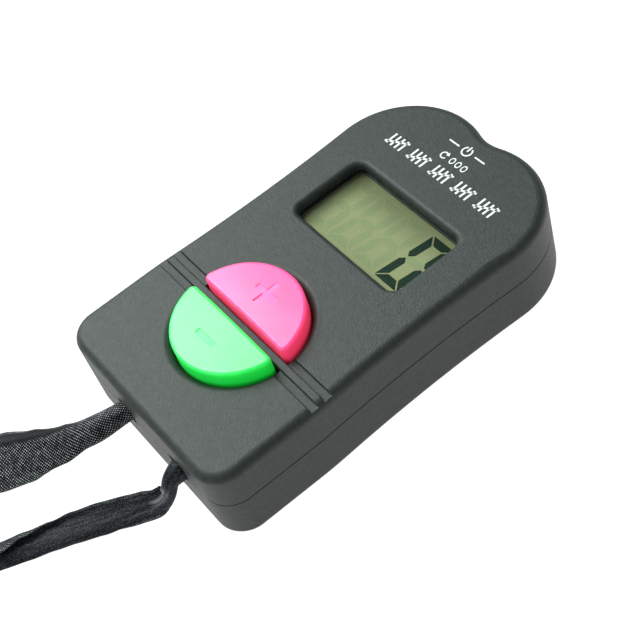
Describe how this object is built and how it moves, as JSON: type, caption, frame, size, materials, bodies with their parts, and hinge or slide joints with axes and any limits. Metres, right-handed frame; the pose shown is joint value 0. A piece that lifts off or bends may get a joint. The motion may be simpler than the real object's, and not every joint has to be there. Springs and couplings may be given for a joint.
{
  "type": "hand tally counter",
  "caption": "Pocket electronic tally counter: waisted flat case, display window, two half-round count buttons, reset button at the end and a ribbon lanyard.",
  "frame": {"origin": "middle of the case's outline on the surface that its back lies on", "axes": "+Z out of the face, +Y towards the notched end with the reset button, +X to the right of the display"},
  "size_m": [0.0994, 0.2015, 0.0171],
  "materials": {
    "case": "fine matte texture",
    "window": "clear, polished",
    "panel": "olive reflective liquid-crystal panel",
    "black_plastic": "matte",
    "plus_cap": "semi-gloss, translucent red-pink",
    "minus_cap": "semi-gloss, translucent green",
    "silicone": "matte",
    "striped_rubber": "matte",
    "board": "solder mask",
    "epoxy": "glossy drop",
    "component": "matte",
    "capacitor": "sleeved",
    "steel": "plain",
    "can": "satin",
    "ribbon": "woven, slightly shiny",
    "tie": "hook-and-loop",
    "reset_cap": "satin"
  },
  "bodies": {
    "case": {"front_case": "case", "back_case": "case", "battery_door": "case", "battery_door_screw": "steel", "plus_key_dome": "silicone", "minus_key_dome": "silicone", "reset_switch": "black_plastic", "display_lens": "window", "lcd_front_glass": "panel", "lcd_back_glass": "panel", "lcd_frame": "black_plastic", "zebra_strip": "striped_rubber", "circuit_board": "board", "chip_cap": "epoxy", "crystal": "can", "board_resistors": "component", "board_capacitor": "capacitor", "battery_cell": "steel", "battery_contact_top": "steel", "battery_contact_side": "steel", "case_screws": "steel", "board_screws": "steel", "lanyard_strand_a": "ribbon", "lanyard_strand_b": "ribbon", "lanyard_knots": "ribbon", "lanyard_coil": "ribbon", "lanyard_tie": "tie"},
    "plus": {"plus_button": "plus_cap"},
    "minus": {"minus_button": "minus_cap"},
    "reset": {"reset_button": "reset_cap", "reset_plunger": "black_plastic"}
  },
  "joints": [
    {"name": "plus_press", "type": "slide", "parent": "case", "child": "plus", "axis": [0, 0, -1], "range_m": [0, 0.0008], "stiffness_N_per_m": 1500, "deforming": ["plus_key_dome"]},
    {"name": "minus_press", "type": "slide", "parent": "case", "child": "minus", "axis": [0, 0, -1], "range_m": [0, 0.0008], "stiffness_N_per_m": 1500, "deforming": ["minus_key_dome"]},
    {"name": "reset_press", "type": "slide", "parent": "case", "child": "reset", "axis": [0, -1, 0], "range_m": [0, 0.0005], "stiffness_N_per_m": 2500}
  ]
}
